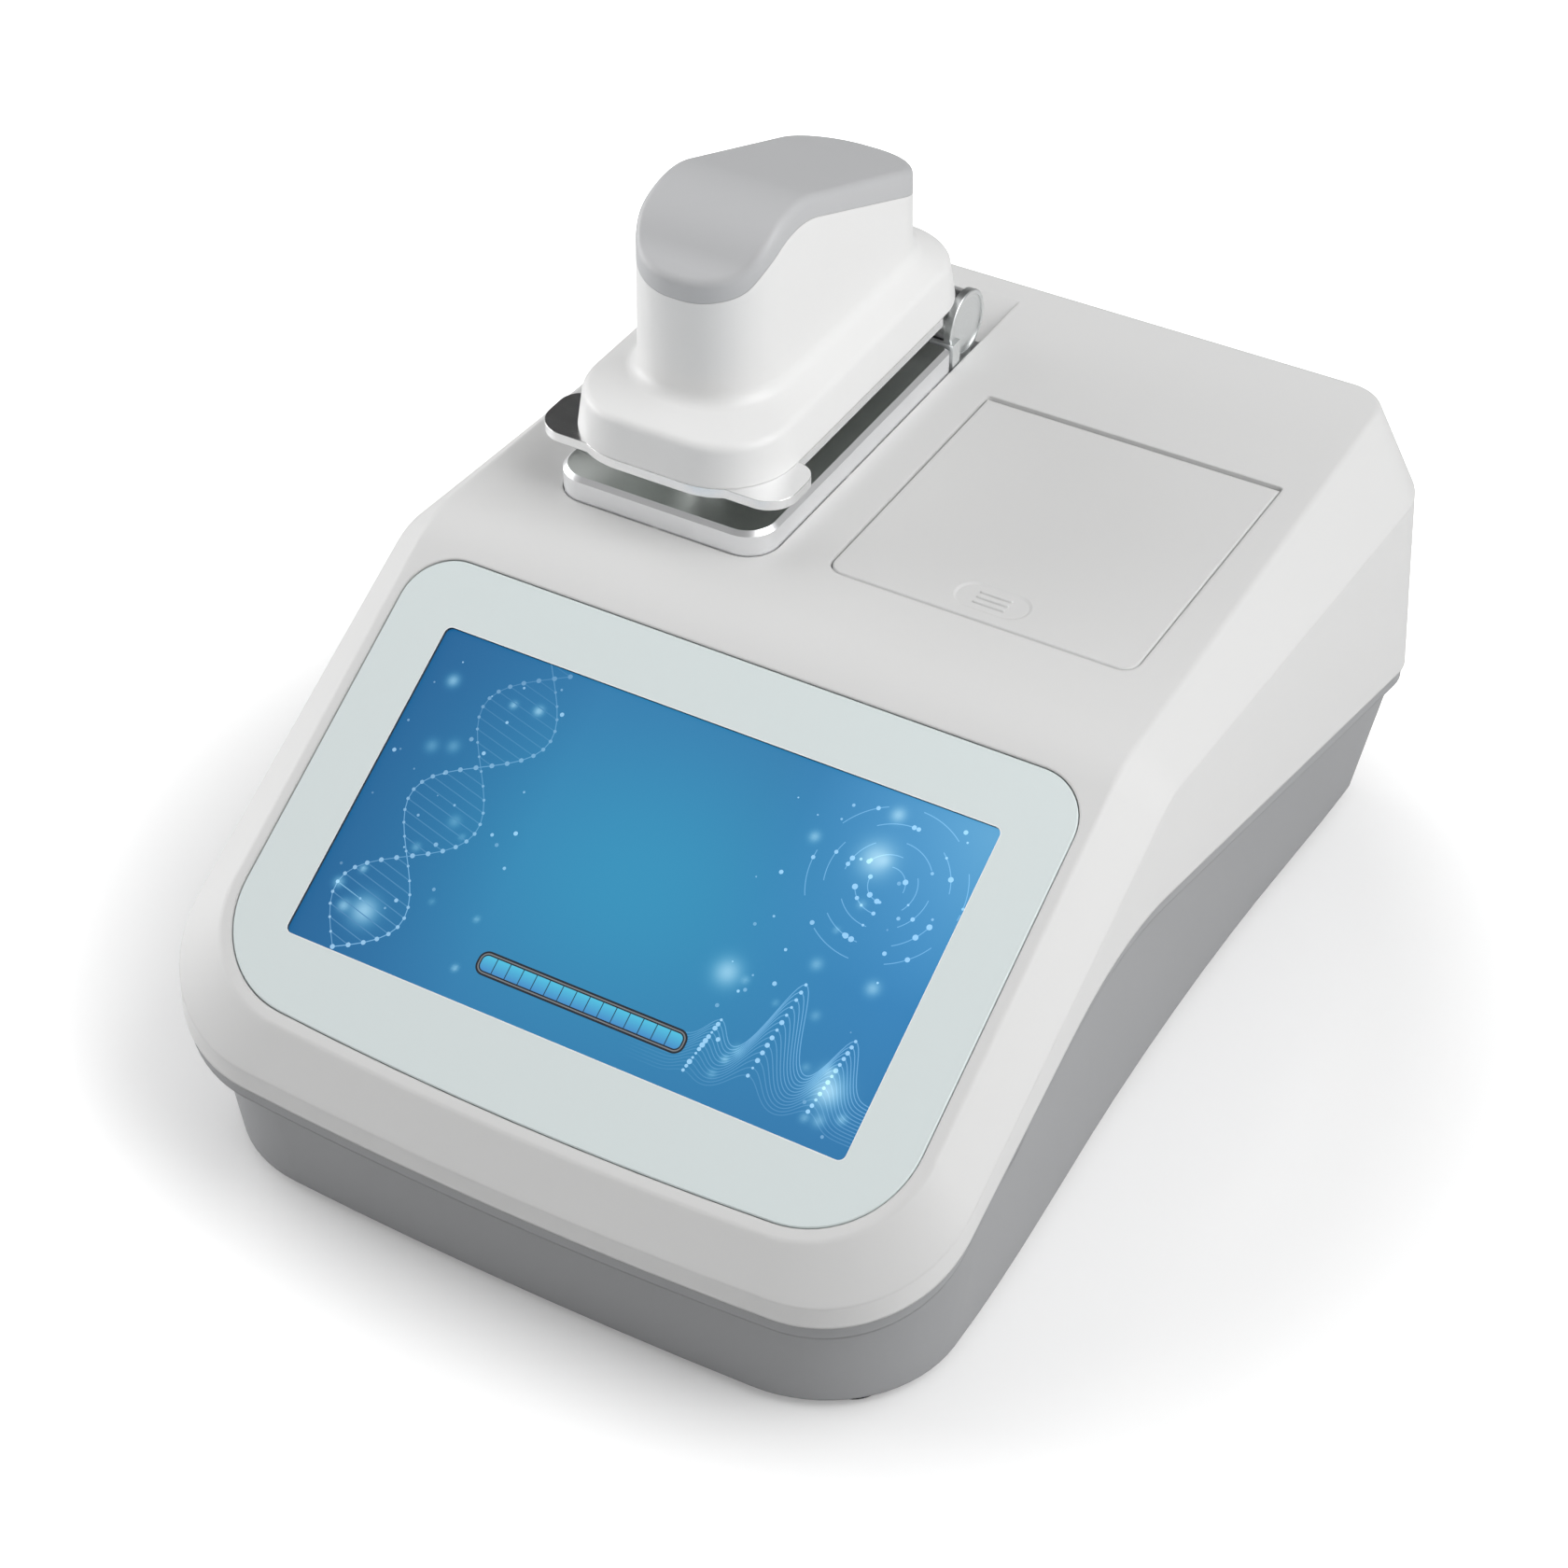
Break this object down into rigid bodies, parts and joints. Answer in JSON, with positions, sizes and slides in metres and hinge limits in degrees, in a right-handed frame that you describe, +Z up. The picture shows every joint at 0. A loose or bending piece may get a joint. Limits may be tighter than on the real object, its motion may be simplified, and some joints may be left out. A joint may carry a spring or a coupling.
{
  "type": "microvolume spectrophotometer",
  "caption": "Bench-top microvolume spectrophotometer with a sloped touch screen, a hinged measuring arm over a pedestal block and a flap over a cuvette well",
  "frame": {"origin": "middle of the footprint, on the table plane under the feet", "axes": "+X to the right seen from the screen side, +Y to the back, +Z up"},
  "size_m": [0.215, 0.3106, 0.2084],
  "materials": {
    "shell_white": "moulded, fine matte texture",
    "base_grey": "moulded, fine matte texture",
    "foot_rubber": "moulded rubber",
    "screw_steel": "zinc plated",
    "screen_glass": "clear cover glass with a pale print on its back",
    "display_face": "lit panel behind the glass",
    "bracket_steel": "bent sheet",
    "board_green": "solder mask with parts",
    "bench_aluminium": "milled plate",
    "block_aluminium": "frosted sides, polished top and chamfer",
    "ferrule_steel": "turned and polished",
    "fibre_glass": "cut glass fibre end",
    "hinge_steel": "turned faces",
    "module_black": "black anodised",
    "holder_black": "black anodised",
    "lid_white": "moulded, fine matte texture",
    "plate_steel": "polished plate and barrel",
    "carrier_plastic": "moulded",
    "arm_white": "moulded, smooth satin",
    "cap_grey": "moulded, smooth satin",
    "jack_black": "moulded",
    "port_steel": "bright tin plate",
    "switch_black": "moulded"
  },
  "bodies": {
    "body_main": {"upper_shell": "shell_white", "base_shell": "base_grey", "rubber_feet": "foot_rubber", "base_screws": "screw_steel", "touch_glass": "screen_glass", "display_module": "display_face", "display_bracket": "bracket_steel", "display_driver": "board_green", "optical_bench": "bench_aluminium", "bench_screws": "screw_steel", "pedestal_block": "block_aluminium", "lower_pedestal": "ferrule_steel", "lower_fibre": "fibre_glass", "hinge_bracket": "hinge_steel", "hinge_pin": "ferrule_steel", "cuvette_holder": "holder_black", "spectrometer_module": "module_black", "lamp_module": "bench_aluminium", "lid_pin": "ferrule_steel", "main_board": "board_green", "board_screws": "screw_steel", "io_board": "board_green", "io_screws": "screw_steel", "power_jack": "jack_black", "usb_host_ports": "port_steel", "usb_device_port": "port_steel", "switch_bezel": "switch_black", "switch_pin": "ferrule_steel"},
    "arm": {"arm_plate": "plate_steel", "upper_pedestal": "ferrule_steel", "upper_fibre": "fibre_glass", "pedestal_carrier": "carrier_plastic", "arm_housing": "arm_white", "arm_cap": "cap_grey"},
    "flap": {"cuvette_lid": "lid_white"},
    "rocker": {"switch_rocker": "switch_black"}
  },
  "joints": [
    {"name": "arm_hinge", "type": "hinge", "parent": "body_main", "child": "arm", "pos_m": [-0.0447, 0.09675, 0.14377], "axis": [-1, 0, 0], "range_deg": [0, 90]},
    {"name": "flap_hinge", "type": "hinge", "parent": "body_main", "child": "flap", "pos_m": [0.04247, 0.07838, 0.13243], "axis": [-1, 0, 0], "range_deg": [0, 95]},
    {"name": "rocker_pivot", "type": "hinge", "parent": "body_main", "child": "rocker", "pos_m": [0.072, 0.1475, 0.032], "axis": [1, 0, 0], "range_deg": [0, 16]}
  ]
}
